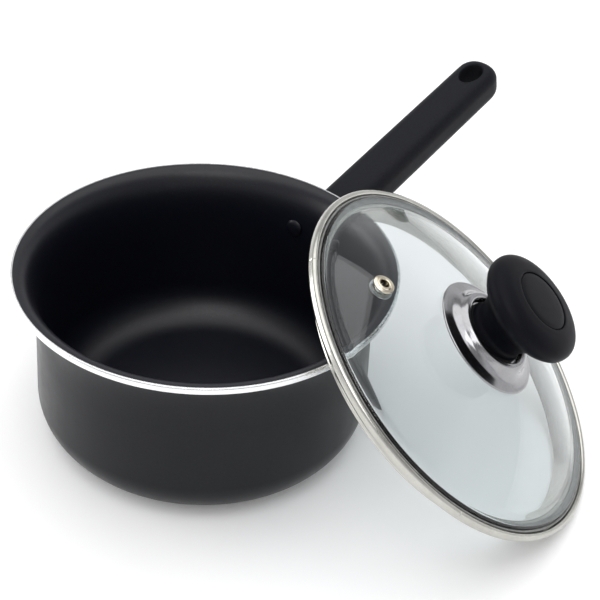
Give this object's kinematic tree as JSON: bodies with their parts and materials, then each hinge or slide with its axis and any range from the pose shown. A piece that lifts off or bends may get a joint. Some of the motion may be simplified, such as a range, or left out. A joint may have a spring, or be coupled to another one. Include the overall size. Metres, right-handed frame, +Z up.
{
  "type": "saucepan with glass lid",
  "caption": "Small black saucepan with a flared lip and a straight riveted handle, and a domed glass lid with a steel band, a steam vent and a wide-topped knob, leaning on the lip.",
  "frame": {"origin": "centre of the pan's flat base, on the surface that the pan stands on", "axes": "+Z up along the pan's axis, +X out along the handle, and the leaning lid stands on the -Y side"},
  "size_m": [0.3107, 0.2672, 0.1196],
  "materials": {
    "pan_enamel": "satin charcoal enamel outside, speckled non-stick inside, bare machined edge",
    "rivet_coated": "aluminium rivet under the black non-stick coating",
    "bracket_steel": "plain pressed steel",
    "handle_black": "matte black phenolic",
    "screw_steel": "zinc-plated steel",
    "brass": "turned brass",
    "lid_glass": "clear tempered glass with a faint grey-blue tint",
    "rim_steel": "polished stainless steel",
    "seal_dark": "dark silicone",
    "bright_steel": "mirror-polished stainless steel",
    "plain_steel": "plain stainless steel",
    "knob_black": "soft-touch black phenolic",
    "cap_black": "matte black plastic",
    "silicone": "grey silicone",
    "knob_brass": "turned brass"
  },
  "bodies": {
    "pan": {"pan_body": "pan_enamel", "rivet_left": "rivet_coated", "rivet_right": "rivet_coated", "handle_bracket": "bracket_steel", "handle": "handle_black", "handle_screw": "screw_steel", "handle_washer": "screw_steel", "handle_insert": "brass"},
    "lid": {"lid_glass": "lid_glass", "lid_rim": "rim_steel", "lid_seal": "seal_dark", "vent_eyelet": "bright_steel", "vent_washer": "bright_steel", "knob_base": "bright_steel", "knob_base_gasket": "silicone", "knob": "knob_black", "knob_cap": "cap_black", "knob_insert": "knob_brass", "knob_screw": "plain_steel", "knob_washer": "plain_steel", "knob_seal": "silicone"}
  },
  "joints": [
    {"name": "lid_lean", "type": "hinge", "parent": "pan", "child": "lid", "pos_m": [-0.00419, 0.00783, -0.07456], "axis": [-0.8817, -0.4718, 0], "range_deg": [0, 40.66]}
  ]
}
